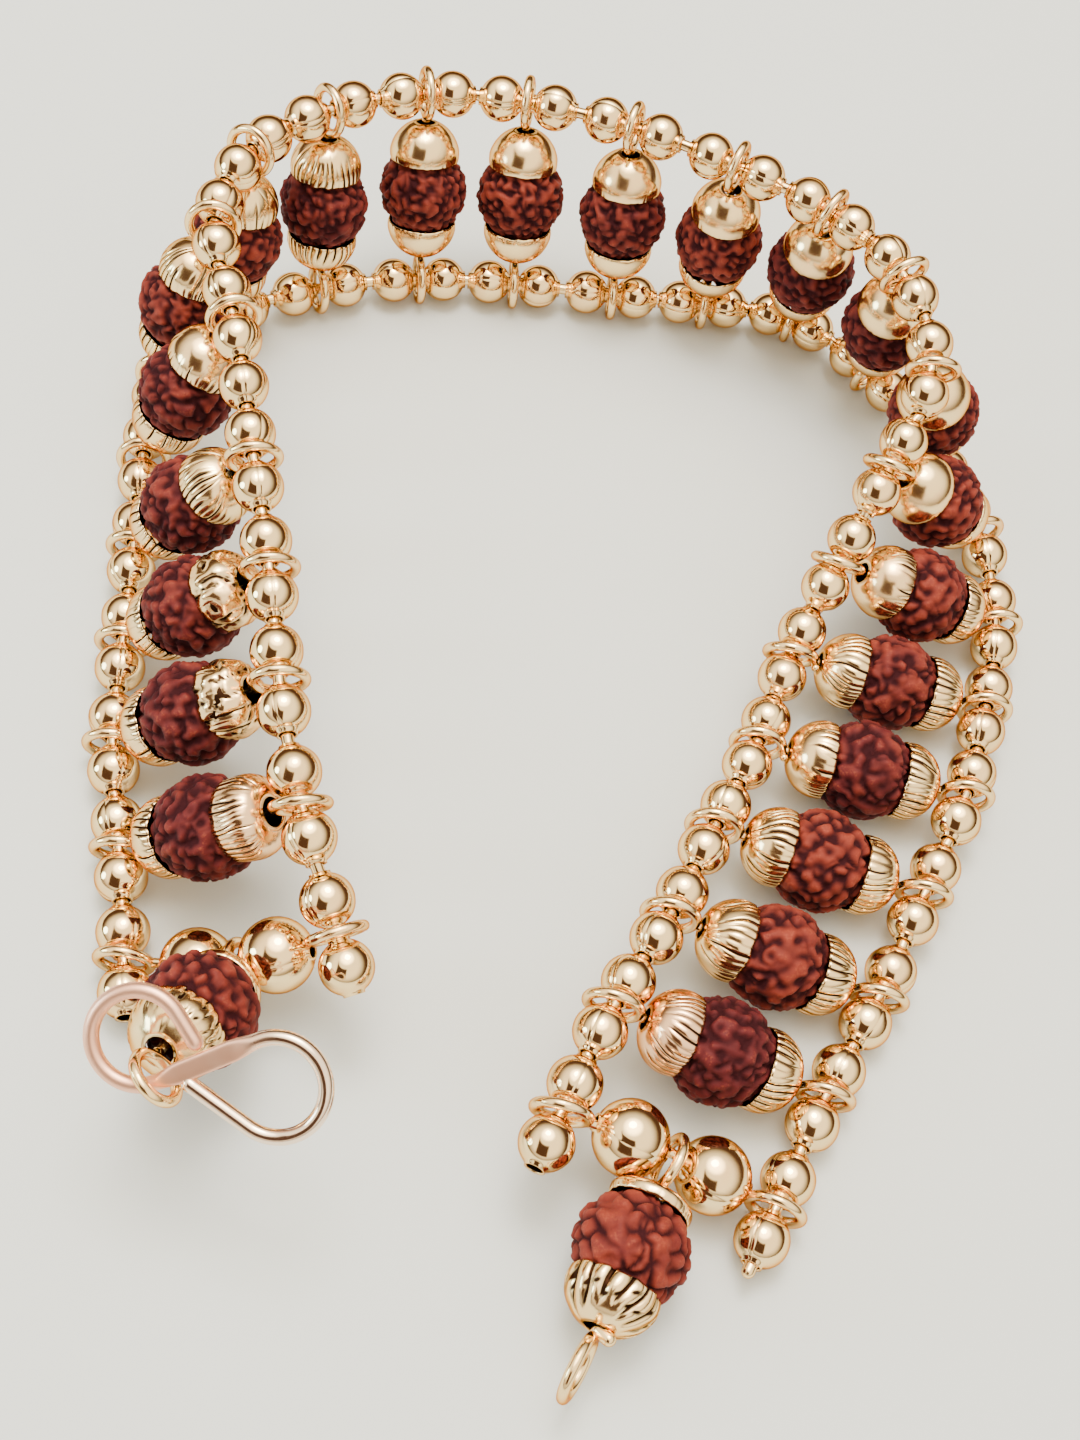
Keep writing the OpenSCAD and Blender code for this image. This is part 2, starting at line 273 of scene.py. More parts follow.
def wavy(points, wave, rng, scale=1.0):
    """The value that a wave has at each point, with the wave's own size scaled."""
    return wave.middle + wave.swing * ripples(points, wave.size * scale, wave.count, rng)


def creases(points, size, count, rng):
    """From 0 to 1 between sharp creases that cross each other, 0 in a crease."""
    ways = rng.normal(size=(count, 3))
    ways *= (math.pi / size / np.linalg.norm(ways, axis=1))[:, None]
    return np.abs(np.sin(points @ ways.T + rng.uniform(0, TURN, count))).min(-1)


def ridge(off, width):
    """1 in the middle of a line, falling to nothing on both sides, at a distance off it."""
    return np.exp(-((off / width) ** 2))


def on_ball(fall, turn):
    """Points of a ball of radius 1, at an angle from its pole and a turn round it."""
    return np.stack([np.sin(fall) * np.cos(turn), np.sin(fall) * np.sin(turn), np.cos(fall)], -1)


def units(vectors):
    """A grid of vectors, each made 1 long."""
    return vectors / np.linalg.norm(vectors, axis=-1, keepdims=True)


def placed(local, middle, way, side=UP):
    """Points of a piece drawn round the z axis, set at middle with z along way."""
    return middle + local @ basis(way, side)


def sweep(path, widths, heights, power=ELLIPSE, sides=WIRE_SIDES):
    """A wire along a path. Its section is widths by heights, an ellipse or, with more power, squarer."""
    power = np.broadcast_to(power, len(path))
    turn = np.arange(sides) * TURN / sides
    x, y = np.cos(turn), np.sin(turn)
    rows = []
    for i, way in enumerate(ways_along(path)):
        side = unit(np.cross(way, UP))
        over = np.cross(side, way)
        wide = np.sign(x) * np.abs(x) ** (2 / power[i]) * widths[i] / 2
        high = np.sign(y) * np.abs(y) ** (2 / power[i]) * heights[i] / 2
        rows.append(path[i] + np.outer(wide, side) + np.outer(high, over))
    return np.array(rows)


def rounded_ends(path, width):
    """A path with a few more points at both ends, and the share of the wire's width at each point."""
    bend = np.linspace(0, math.pi / 2, END_ROWS + 1)[1:]
    reach, share = np.sin(bend), np.cos(bend)
    share[-1] = TIP_SHARE
    first, last = unit(path[0] - path[1]), unit(path[-1] - path[-2])
    start = path[0] + np.outer(reach[::-1] * width / 2, first)
    end = path[-1] + np.outer(reach * width / 2, last)
    return np.concatenate([start, path, end]), np.r_[share[::-1], np.ones(len(path)), share]


def add_piece(name, grids, finish, replaced, mark="furrow_shade", tones=None):
    """One object out of grids of points, each closed round its columns and, if it says so, its rows."""
    points, faces, marks, spread, first = [], [], [], [], 0
    for grid, tone in zip(grids, tones or [0] * len(grids)):
        rows, columns = grid.points.shape[:2]
        row, column = np.mgrid[: rows if grid.closed else rows - 1, :columns]
        below, right = (row + 1) % rows, (column + 1) % columns
        corners = [(row, column), (row, right), (below, right), (below, column)]
        faces += np.stack([first + r * columns + c for r, c in corners], -1).reshape(-1, 4).tolist()
        if not grid.closed:
            faces.append(list(range(first + columns - 1, first - 1, -1)))
            faces.append(list(range(first + (rows - 1) * columns, first + rows * columns)))
        points.append(grid.points.reshape(-1, 3))
        marks.append(np.broadcast_to(grid.mark, (rows, columns)).ravel())
        spread.append(np.full(rows * columns, tone))
        first += rows * columns
    mesh = bpy.data.meshes.new(name)
    mesh.from_pydata(np.concatenate(points).tolist(), [], faces)
    mesh.validate()
    for label, values in {mark: marks, "tone": spread}.items():
        values = np.concatenate(values).astype(np.float32)
        mesh.attributes.new(label, "FLOAT", "POINT").data.foreach_set("value", values)
    mesh.polygons.foreach_set("use_smooth", [True] * len(mesh.polygons))
    mesh.materials.append(finish)
    piece = bpy.data.objects.new(name, mesh)
    bpy.context.scene.collection.objects.link(piece)
    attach(piece, BODY)
    if replaced:
        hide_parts(*replaced)
    return piece


# Shader helpers


class Value:
    """A socket in arithmetic. Each operator adds the Math node that it stands for."""

    def __init__(self, shader, socket):
        self.shader = shader
        self.socket = socket

    def maths(self, operation, *values):
        sockets = dict(enumerate(values))
        return self.shader.node("ShaderNodeMath", {"operation": operation}, sockets, "Value")

    def __add__(self, other):
        return self.maths("ADD", self, other)

    def __sub__(self, other):
        return self.maths("SUBTRACT", self, other)

    def __rsub__(self, other):
        return self.maths("SUBTRACT", other, self)

    def __mul__(self, other):
        return self.maths("MULTIPLY", self, other)

    __radd__ = __add__
    __rmul__ = __mul__


class Shader:
    """The nodes of a material or of the world."""

    def __init__(self, owner):
        owner.use_nodes = True
        self.owner = owner
        self.tree = owner.node_tree
        self.tree.nodes.clear()

    def node(self, kind, settings, sockets, output):
        """Adds a node, sets what it is, then its sockets, and gives one of its outputs."""
        node = self.tree.nodes.new(kind)
        for name, setting in settings.items():
            setattr(node, name, setting)
        for name, value in sockets.items():
            if isinstance(value, Value):
                self.tree.links.new(value.socket, node.inputs[name])
            else:
                node.inputs[name].default_value = value
        return Value(self, node.outputs[output]) if output else None

    def place(self):
        return self.node("ShaderNodeTexCoord", {}, {}, "Object")

    def noise(self, size, detail, roughness=0.5):
        """Cloudy noise whose patches are about that size."""
        sockets = {"Vector": self.place(), "Scale": 1 / size, "Detail": detail, "Roughness": roughness}
        return self.node("ShaderNodeTexNoise", {"noise_dimensions": "3D"}, sockets, "Fac")

    def mark(self, name):
        return self.node("ShaderNodeAttribute", {"attribute_name": name}, {}, "Fac")

    def towards(self, vector, way):
        """How far a vector goes along a way."""
        return self.node("ShaderNodeVectorMath", {"operation": "DOT_PRODUCT"}, {0: vector, 1: way}, "Value")

    def between(self, value, low, high):
        """0 where value is low or less, 1 where it is high or more."""
        sockets = {"Value": value, "From Min": low, "From Max": high}
        return self.node("ShaderNodeMapRange", {"interpolation_type": "SMOOTHSTEP"}, sockets, "Result")

    def within(self, value, middle, reach, edge):
        """1 where value is within reach of middle, and 0 beyond a soft edge."""
        off = value - middle
        return 1 - self.between(off.maths("ABSOLUTE", off), reach, reach + edge)

    def mix(self, share, first, second):
        """A colour that goes from first to second, through the Mix node's own colour sockets."""
        return self.node("ShaderNodeMix", {"data_type": "RGBA"}, {0: share, 6: first, 7: second}, 2)

    def bump(self, height, distance, strength=1.0):
        sockets = {"Height": height, "Distance": distance, "Strength": strength}
        return self.node("ShaderNodeBump", {}, sockets, "Normal")

    def shaded(self, **sockets):
        """Ends a material in a Principled shader. An underscore in a socket's name is a space."""
        named = {name.replace("_", " "): value for name, value in sockets.items()}
        surface = self.node("ShaderNodeBsdfPrincipled", {}, named, "BSDF")
        self.node("ShaderNodeOutputMaterial", {}, {"Surface": surface}, None)
        return self.owner


def opaque(color):
    return (*color, 1.0)


# Finishes and light

# Noise in the finishes: the size of its patches, its detail and, where it isn't the usual one, its roughness
GOLD_STAINS = (2.2 * MM, 3)
GOLD_WEAR = (0.25 * MM, 4, 0.6)
SEED_PATCHES = (1.4 * MM, 3, 0.6)
SEED_GRAIN = (0.14 * MM, 4, 0.65)
HOOK_SCUFFS = (1.4 * MM, 3)
HOOK_WEAR = (0.3 * MM, 4, 0.6)
FLOOR_TOOTH = (1.5 * MM, 3)
# Between which of its values a noise or a mark changes the colour
GOLD_SHADE_EDGE = (0.05, 0.7)
GOLD_STAIN_EDGE = (0.45, 0.75)
SEED_DARK_EDGE = (0.75, 1.35)
SEED_WORN_EDGE = (0.42, 0.75)
HOOK_SCUFF_EDGE = (0.5, 0.75)
# How strong the colours of stains, worn grain and scuffs are, and the floor's darker patches
FAINT = 0.4
FAINTER = 0.25
# Roughness where a finish is clean, and what its marks add to it
GILT_ROUGHNESS = {"caps": 0.13, "balls": 0.06, "wire": 0.12}
GOLD_WEAR_ROUGH = 0.06
GOLD_STAIN_ROUGH = 0.05
GOLD_FURROW_ROUGH = 0.3
SEED_ROUGHNESS = 0.5
SEED_GRAIN_ROUGH = 0.2
SEED_FURROW_ROUGH = 0.25
HOOK_ROUGHNESS = 0.1
HOOK_SATIN_ROUGH = 0.26
HOOK_WEAR_ROUGH = 0.08
FLOOR_ROUGHNESS = 0.7
# Depth of the bump that wear and grain give, how strong the seed's is, and how glossy seed and floor are
GOLD_BUMP = 0.0015 * MM
HOOK_BUMP = 0.004 * MM
SEED_BUMP = 0.02 * MM
SEED_BUMP_STRENGTH = 0.7
SEED_GLOSS = 0.13
FLOOR_GLOSS = 0.25


def gold_finish(kind, looks):
    """Polished gilt brass, with painted shade in its grooves, seams, bores and the caps' insides, faint
    stains and fine wear.
    """
    shader = Shader(bpy.data.materials.new(f"gilt_{kind}"))
    # Painted shade: marked grooves, pleats, pits, seams, bores and caps' insides are mixed towards a dark
    # brown
    furrow_shade = shader.between(shader.mark("furrow_shade"), *GOLD_SHADE_EDGE)
    stain = shader.between(shader.noise(*GOLD_STAINS), *GOLD_STAIN_EDGE)
    wear = shader.noise(*GOLD_WEAR)
    clean = shader.mix(stain * FAINT, opaque(looks.gold_color), opaque(looks.stain_color))
    clean = shader.mix(shader.mark("tone"), clean, opaque(looks.rosy_color))
    rough = GILT_ROUGHNESS[kind] + wear * GOLD_WEAR_ROUGH + stain * GOLD_STAIN_ROUGH
    return shader.shaded(
        Base_Color=shader.mix(furrow_shade, clean, opaque(looks.groove_shade_color)),
        Metallic=1.0,
        Roughness=rough + furrow_shade * GOLD_FURROW_ROUGH,
        Specular_Tint=opaque(looks.edge_color),
        Normal=shader.bump(wear, GOLD_BUMP),
    )


def rudraksha_finish(looks):
    """Dry seed: terracotta lumps, furrows between them darkened with painted shade, and a fine grain."""
    shader = Shader(bpy.data.materials.new("rudraksha_seed"))
    # Painted shade: the furrow mark darkens the furrows and the valleys between the lumps
    furrow_shade = shader.mark("furrow_shade")
    patch = shader.noise(*SEED_PATCHES)
    grain = shader.noise(*SEED_GRAIN)
    dark = shader.between(patch + shader.mark("tone"), *SEED_DARK_EDGE)
    lump = shader.mix(dark, opaque(looks.lump_color), opaque(looks.dark_lump_color))
    worn = shader.between(grain - furrow_shade, *SEED_WORN_EDGE)
    lump = shader.mix(worn * FAINT, lump, opaque(looks.worn_color))
    return shader.shaded(
        Base_Color=shader.mix(furrow_shade, lump, opaque(looks.furrow_shade_color)),
        Roughness=SEED_ROUGHNESS + grain * SEED_GRAIN_ROUGH + furrow_shade * SEED_FURROW_ROUGH,
        Specular_IOR_Level=SEED_GLOSS,
        Normal=shader.bump(grain, SEED_BUMP, SEED_BUMP_STRENGTH),
    )


def hook_finish(looks):
    """Rose gold, satin on the closed loop and the bar, and polished on the open loop."""
    shader = Shader(bpy.data.materials.new("rose_gold_hook"))
    satin = shader.mark("satin")
    wear = shader.noise(*HOOK_WEAR)
    scuff = shader.between(shader.noise(*HOOK_SCUFFS), *HOOK_SCUFF_EDGE)
    rose = shader.mix(scuff * FAINT, opaque(looks.rose_color), opaque(looks.scuff_color))
    return shader.shaded(
        Base_Color=shader.mix(satin, opaque(looks.bright_color), rose),
        Metallic=1.0,
        Roughness=HOOK_ROUGHNESS + satin * HOOK_SATIN_ROUGH + wear * HOOK_WEAR_ROUGH,
        Normal=shader.bump(wear, HOOK_BUMP),
    )


def floor_finish(looks):
    """Plain pale board with a faint tooth."""
    shader = Shader(bpy.data.materials.new("pale_floor"))
    shade = [FLOOR_SHADE * part for part in looks.floor_color]
    tooth = shader.noise(*FLOOR_TOOTH) * FAINTER
    color = shader.mix(tooth, opaque(looks.floor_color), opaque(shade))
    return shader.shaded(Base_Color=color, Roughness=FLOOR_ROUGHNESS, Specular_IOR_Level=FLOOR_GLOSS)


def light_room(world, looks):
    """Soft warm light overhead that falls off towards the horizon, and a dark flag on the camera's side."""
    shader = Shader(world)
    way = shader.node("ShaderNodeTexCoord", {}, {}, "Generated")
    x, y, z = (shader.node("ShaderNodeSeparateXYZ", {}, {"Vector": way}, axis) for axis in "XYZ")
    lit = shader.between(shader.towards(way, SKY_WAY), *SKY_EDGE)
    glow = shader.between(shader.towards(way, GLOW_WAY), *GLOW_EDGE)
    flag = shader.within(x, *FLAG_X) * shader.within(z, *FLAG_Z) * shader.between(0 - y, *FLAG_FRONT)
    color = shader.mix(lit, opaque(looks.room_color), opaque(looks.sky_color))
    color = shader.mix(flag, color, opaque(looks.room_color))
    sockets = {"Color": color, "Strength": looks.sky_power + glow * looks.glow_power}
    background = shader.node("ShaderNodeBackground", {}, sockets, "Background")
    shader.node("ShaderNodeOutputWorld", {}, {"Surface": background}, None)


# Rudraksha beads

# A bead's rows and columns, and the rows under each cap, which hides it up to this angle from its poles
BEAD_ROWS = 62
BEAD_COLUMNS = 144
CAPPED_ROWS = 5
CAPPED = math.radians(38)
# How much longer the whole egg is than the bead, whose bore takes its poles away
EGG_LENGTH = 1.01
# How closely the lumps crowd, how far they stray in lump sizes, and the share that grows into a neighbour
LUMP_CROWDING = 1.1
LUMP_STRAY = 0.2
JOINED_LUMPS = 0.5
# The turn that spreads points evenly over a ball, as a multiple of pi
GOLDEN = 1 + math.sqrt(5)
# How furrows wind, where they are open and which lumps stand up, all in lump sizes, and the fine warts
WINDING = Wave(0, 0.16, 2.2, 6)
OPEN_FURROWS = Wave(1.2, 0.6, 2.1, 16)
KNOBS = Wave(0.52, 0.41, 1.1, 60)
WARTS = Wave(0.02 * MM, 0.02 * MM, 0.4 * MM, 24)
# How much the painted shade of the hollows closes the furrows
CLOSED_BY_HOLLOWS = 0.43
# Half the width of a furrow, and what the lumps' size adds to it
CRACK_WIDTH = 0.13 * MM
CRACK_PER_LUMP = 0.02
# Shares of the furrows' depth that valleys between knobs and open furrows have, how dark an open furrow
# is painted as shade, and how much of that painted shade the lumps shed
VALLEY_DEPTH = 0.65
CRACK_DEPTH = 0.8
CRACK_MARK = 1.1
CLEAN_MARK = 0.08
# The mouths that run from end to end: how many, how they wander, and how far their middle counts as off a
# furrow's, which makes them fainter
MOUTHS = 5
MOUTH_WANDER = Wave(0, 0.1, 2 * MM, 5)
MOUTH_OFF = 0.05 * MM


def lumps_that_join(seeds, share, rng):
    """A number for each seed, the same for neighbours that grow together into one long lump."""
    group = np.arange(len(seeds))
    gaps = np.linalg.norm(seeds[:, None] - seeds, axis=-1) + np.diag([np.inf] * len(seeds))
    for i in rng.permutation(len(seeds))[: int(share * len(seeds))]:
        group[group == group[i]] = group[gaps[i].argmin()]
    return group


def distance_to_furrow(points, radii, size, rng):
    """How far each point of the bead's skin is from the nearest furrow between two lumps."""
    count = int(LUMP_CROWDING * 4 * math.pi * radii[0] * radii[2] / size**2)
    index = np.arange(count) + 0.5
    seeds = on_ball(np.arccos(1 - 2 * index / count), index * math.pi * GOLDEN) * radii
    seeds += rng.normal(size=seeds.shape) * size * LUMP_STRAY
    group = lumps_that_join(seeds, JOINED_LUMPS, rng)
    warp = np.stack([wavy(points, WINDING, rng, size) for _ in range(3)], -1) * size
    gaps = np.linalg.norm((points + warp)[..., None, :] - seeds, axis=-1)
    own = group[gaps.argmin(-1)]
    other = np.where(group == own[..., None], np.inf, gaps).min(-1)
    return (other - gaps.min(-1)) / 2


def bead_grid(bead, looks, size_share, hollow_shade, seed):
    """A drilled rudraksha bead with rounded, worm-like lumps and mouths that run from end to end."""
    rng = np.random.default_rng(seed)
    hidden = np.linspace(math.asin(BEAD_BORE / 2 / bead.radius), CAPPED, CAPPED_ROWS + 1)[:-1]
    fall = np.r_[hidden, np.linspace(CAPPED, math.pi - CAPPED, BEAD_ROWS), math.pi - hidden[::-1]]
    turn = np.arange(BEAD_COLUMNS) * TURN / BEAD_COLUMNS
    fall, turn = np.meshgrid(fall, turn, indexing="ij")
    radii = np.array([bead.radius, bead.radius, bead.half_length * EGG_LENGTH])
    skin = on_ball(fall, turn) * radii
    out = units(skin / radii**2)
    size = looks.lump_size * size_share
    border = distance_to_furrow(skin, radii, size, rng)
    mouth_turn = turn + wavy(skin, MOUTH_WANDER, rng) + rng.uniform(0, TURN)
    mouth_turn = np.abs(mouth_turn % (TURN / MOUTHS) - TURN / MOUTHS / 2)
    border = np.minimum(border, mouth_turn * np.sin(fall) * bead.radius + MOUTH_OFF)
    open_share = np.clip(wavy(skin, OPEN_FURROWS, rng, size) - CLOSED_BY_HOLLOWS * hollow_shade, 0, 1)
    crack = open_share * ridge(border, CRACK_WIDTH + CRACK_PER_LUMP * size)
    valley = (1 - np.clip(wavy(skin, KNOBS, rng, size), 0, 1)) ** 2
    depth = looks.furrow_depth * np.clip(VALLEY_DEPTH * valley + CRACK_DEPTH * crack, 0, 1)
    depth += wavy(skin, WARTS, rng)
    depth[[0, -1]] = 0
    # Painted shade: valleys between knobs and open furrows get a dark mark, less of it on the lumps
    mark = np.clip(hollow_shade * valley + CRACK_MARK * crack - CLEAN_MARK, 0, 1)
    skin -= out * np.maximum(depth, 0)[..., None]
    return Grid(placed(skin, bead.middle, bead.way), mark, True)


# Caps. Their depths are in millimetres, and places up a cap are shares, 0 at its rim and 1 at its hole.

# A kind of cap: how many pleats it has, how deep they are and how far up they reach, how deep its creases
# are and how far its rim is jagged, the share of it that is pitted, how full its dome is, how wide its hole
# is beside the solid's, and how rosy it is
CapKind = namedtuple("CapKind", "pleats depth reach creases jag pits power hole rose")
CAP_KINDS = {
    "pleated": CapKind(31, 0.11, (0.25, 1.0), 0.01, 0.05, 0.0, 0.9, 1.0, 0.0),
    "faint": CapKind(35, 0.065, (0.1, 0.5), 0.01, 0.05, 0.0, 0.9, 1.0, 0.1),
    "rosy": CapKind(35, 0.09, (0.3, 0.8), 0.01, 0.05, 0.0, 0.85, 1.0, 0.6),
    "wide": CapKind(37, 0.1, (0.3, 0.75), 0.01, 0.05, 0.0, 0.6, 1.3, 0.4),
    "crumpled": CapKind(22, 0.06, (0.15, 0.5), 0.2, 0.1, 0.02, 0.75, 1.25, 0.1),
    "smooth": CapKind(30, 0.03, (0.1, 0.2), 0.01, 0.03, 0.0, 1.0, 1.0, 0.0),
    "back": CapKind(30, 0.03, (0.1, 0.2), 0.01, 0.03, 0.0, 0.6, 1.0, 0.0),
    "jagged": CapKind(26, 0.12, (0.1, 0.35), 0.04, 0.16, 0.1, 0.9, 1.0, 0.0),
    "deep": CapKind(16, 0.24, (0.4, 0.95), 0.03, 0.05, 0.25, 0.95, 1.0, 0.0),
}
# The first letter of each rung's kind, from the hook to the eye, and the fastenings' front and back caps
UPPER_CAPS = "wccpfpppssssssssfpfppr"
LOWER_CAPS = "fffffpppssssssssfppppp"
END_CAPS = {"hook": "jb", "eye": "db"}

# The share up a cap where its rim ends, the rows of its skin, and how many its inside has
RIM_END = 0.17
CAP_ROWS = np.r_[0, 0.03, 0.09, np.linspace(RIM_END, 1, 11)][:, None]
INNER_ROWS = 6
# Where the columns of a cap's skin stand in a pleat, and how deep the pleat is at each
PLEAT_COLUMNS = (0, 0.33, 0.42, 0.58, 0.67)
PLEAT_PROFILE = (0, 0, 1, 1, 0)
# The least and most strength of a pleat, and the share of the cap in which it fades out
PLEAT_STRENGTH = (0.1, 1)
PLEAT_FADE = 0.2
# How far, in radians, pleats crowd in waves round the cap, lean towards its hole, and sway
CROWD = (-0.06, 0.06)
CROWD_WAVES = (1, 2, 3, 5)
LEAN = (-0.35, 0.35)
LEAN_POWER = 1.5
SWAY = 0.05
SWAY_UP = 6
SWAY_ROUND = 3
# Depth of a pit, and between which shares up the cap the pits lie
PIT_DEPTH = 0.12
PIT_ROWS = (0.1, 0.45)
# Size and number of the sheets of creases, the widths of a crease and of the line of painted shade in it,
# the share at which creases would end, and the dents round them
CREASE_SIZE = 2 * MM
CREASE_COUNT = 3
CREASE_WIDTH = 0.16
CREASE_LINE = 0.07
CREASE_END = 1.3
DENTS = Wave(0.35, 0.35, 1.3 * MM, 12)
# Depths of the step behind the rim and of its turn towards the bead, where each is, and how far the rim
# laps over the bead
RIM_STEP = 0.04
RIM_STEP_AT = 0.11
RIM_STEP_WIDTH = 0.04
RIM_TUCK = 0.1
RIM_TUCK_WIDTH = 0.05
RIM_LAP = 0.08
# How a rim is jagged, what pleats add to that, how fast it fades, and the share of the wall at the edge
JAGS = Wave(0, 1, 0.8 * MM, 12)
JAG_BY_PLEATS = 0.6
RIM_POWER = 1.5
EDGE_WALL = 0.6
# How dark pleats are painted as shade, and how deep pleats and creases have to be to get painted shade
PLEAT_MARK = 1.4
DARK_PLEATS = 0.06
DARK_CREASES = 0.1


def dome(radius, length, hole, share, turn, power):
    """Points of a dome from its rim, where share is 0, up to its hole, where share is 1."""
    end = math.acos((hole / radius) ** (1 / power))
    across = radius * np.cos(end * share) ** power
    up = length * (np.sin(end * share) / math.sin(end)) ** power
    return np.stack([across * np.cos(turn), across * np.sin(turn), up + 0 * turn], -1)


def cap_grid(cap, kind, looks, seed):
    """A thin domed cap with the pleats and creases of its kind, a jagged rim and a hole for the pin."""
    rng = np.random.default_rng(seed)
    share = CAP_ROWS
    place = (np.arange(kind.pleats)[:, None] + PLEAT_COLUMNS).ravel() / kind.pleats
    strength = np.repeat(rng.uniform(*PLEAT_STRENGTH, kind.pleats), len(PLEAT_COLUMNS))
    reach = np.repeat(rng.uniform(*kind.reach, kind.pleats), len(PLEAT_COLUMNS))
    turn = TURN * place
    for waves in CROWD_WAVES:
        turn = turn + rng.uniform(*CROWD) * np.sin(waves * TURN * place + rng.uniform(0, TURN))
    turn = turn + rng.uniform(*LEAN) * share**LEAN_POWER
    turn = turn + SWAY * np.sin(SWAY_UP * share + SWAY_ROUND * TURN * place)
    hole = cap.hole * kind.hole
    skin = dome(cap.radius, cap.length, hole, share, turn, kind.power)
    out = units(skin / np.array([cap.radius, cap.radius, cap.length]) ** 2)
    groove = np.tile(PLEAT_PROFILE, kind.pleats) * strength * np.clip((reach - share) / PLEAT_FADE, 0, 1)
    pits = (rng.random(groove.shape) < kind.pits) * (share > PIT_ROWS[0]) * (share < PIT_ROWS[1])
    fold = creases(skin, CREASE_SIZE, CREASE_COUNT, rng)
    depth = kind.depth * groove + PIT_DEPTH * pits + kind.creases * wavy(skin, DENTS, rng)
    depth += kind.creases * ridge(fold, CREASE_WIDTH) * np.clip(CREASE_END - share, 0, 1)
    depth += RIM_STEP * ridge(share - RIM_STEP_AT, RIM_STEP_WIDTH) + RIM_TUCK * ridge(share, RIM_TUCK_WIDTH)
    skin -= out * np.clip(depth, 0, None)[..., None] * MM
    jag = kind.jag * (wavy(skin[0], JAGS, rng) + JAG_BY_PLEATS * groove[0]) - RIM_LAP
    skin[..., 2] += jag * MM * np.clip(1 - share / RIM_END, 0, 1) ** RIM_POWER
    wall = looks.cap_wall
    inner_share = np.linspace(1, 0, INNER_ROWS)[:, None]
    inner = dome(cap.radius - wall, cap.length - wall, hole, inner_share, turn[0], kind.power)
    inner[-1] = skin[0] - out[0] * wall * EDGE_WALL
    # Painted shade: pleats, pits, crease lines and the cap's whole inside are marked dark
    mark = PLEAT_MARK * groove * (kind.depth > DARK_PLEATS) + pits
    mark += ridge(fold, CREASE_LINE) * (kind.creases > DARK_CREASES)
    mark = np.concatenate([np.clip(mark, 0, 1), np.ones((INNER_ROWS, turn.shape[1]))])
    return Grid(placed(np.concatenate([skin, inner]), cap.middle, cap.way), mark, True)


# Balls and wires

# Rows of a ball between its two collars, rows of each collar, and columns of each half beside its seams
BALL_ROWS = 15
COLLAR_ROWS = 3
HALF_COLUMNS = 15
# How wide a ball's lip is from its bore to its collar's edge, and how far the bore's wall, painted dark as
# shade, shows
LIP_WIDTH = 0.12 * MM
# Half the width of a seam in radians, and how dark it is painted as shade
SEAM = 0.025
SEAM_MARK = 0.3
# Between which sizes a ball's dents are, in radii, and how many waves they have
DENT_SIZES = (0.7, 1.3)
DENT_WAVES = 5
# Random seeds: the step from one chain to the next, and the low and high ball of each end rung
CHAIN_SEEDS = 1000
END_BALL_SEEDS = {"hook": (17, 18), "eye": (16, 17)}
# How deep inside the end balls the threads stop
THREAD_INSET = 0.9 * MM
# The nub that closes a chain: how deep in the ball it starts, its widths there and at its tip, its rows
# and its sides
NUB_ROOT = 0.25 * MM
NUB_WIDTHS = (1.1 * MM, 0.12 * MM)
NUB_ROWS = 6
NUB_SIDES = 20
# Cut ends of wire: how far a point is over a cap, where the wire runs from there in millimetres, and its
# width. One is the knob at the foot of the eye, and tips show beside the upper rings of two rungs.
KNOB_FOOT = 0.2 * MM
KNOB_FROM = (0.15, 0.1, 0.25)
KNOB_TO = (0.65, -0.25, 0.45)
KNOB_WIDTH = 0.75 * MM
TIPPED_RUNGS = (18, 19)
TIP_FOOT = 0.35 * MM
TIP_TO = (0.1, -0.75, 0.35)
TIP_WIDTH = 0.5 * MM


def ball_grid(middle, radius, way, bore, looks, seed):
    """A drilled ball made of two halves: a fine seam, shallow dents and a soft lip round the hole."""
    rng = np.random.default_rng(seed)
    hole = math.asin((bore / 2 + LIP_WIDTH) / radius)
    fall = np.linspace(hole, math.pi - hole, BALL_ROWS)
    fall = np.r_[[hole] * COLLAR_ROWS, fall, [math.pi - hole] * COLLAR_ROWS]
    half = np.linspace(0, TURN / 2, HALF_COLUMNS + 2)[1:-1]
    first, second = np.array([-SEAM, 0, SEAM]), TURN / 2 + np.array([-SEAM, 0, SEAM])
    fall, turn = np.meshgrid(fall, np.r_[first, half, second, TURN / 2 + half], indexing="ij")
    out = on_ball(fall, turn)
    on_seam = (np.abs(np.sin(turn)) < math.sin(SEAM) / 2) * 1.0
    dents = 1 + ripples(out, rng.uniform(*DENT_SIZES), DENT_WAVES, rng)
    depth = looks.seam_depth * on_seam + looks.dent_depth * dents
    local = out * (radius - np.maximum(depth, 0))[..., None]
    # At each end: a row down in the bore, the lip's inner edge and the collar's outer edge
    for inside, lip, collar in ((0, 1, 2), (-1, -2, -3)):
        outwards = np.sign(local[collar, 0, 2])
        local[collar, :, 2] += outwards * looks.collar_height
        local[lip] = local[collar]
        local[lip, :, :2] *= bore / 2 / (bore / 2 + LIP_WIDTH)
        local[inside] = local[lip]
        local[inside, :, 2] -= outwards * LIP_WIDTH
    # Painted shade: a faint dark line on the seams and full dark down the bore
    mark = SEAM_MARK * on_seam
    mark[[0, -1]] = 1
    side = square_to(rng.normal(size=3), way)
    return Grid(placed(local, middle, way, side), mark, True)


def chain_grids(node, looks, seed):
    middles, radius = measured_chain(node)
    ways = ways_along(middles)
    return [
        ball_grid(middle, radius, way, BALL_BORE, looks, seed + i)
        for i, (middle, way) in enumerate(zip(middles, ways))
    ]


def wire_grid(path, width):
    """A round wire with rounded ends."""
    path, share = rounded_ends(np.asarray(path, float), width)
    return Grid(sweep(path, share * width, share * width), 0.0, False)


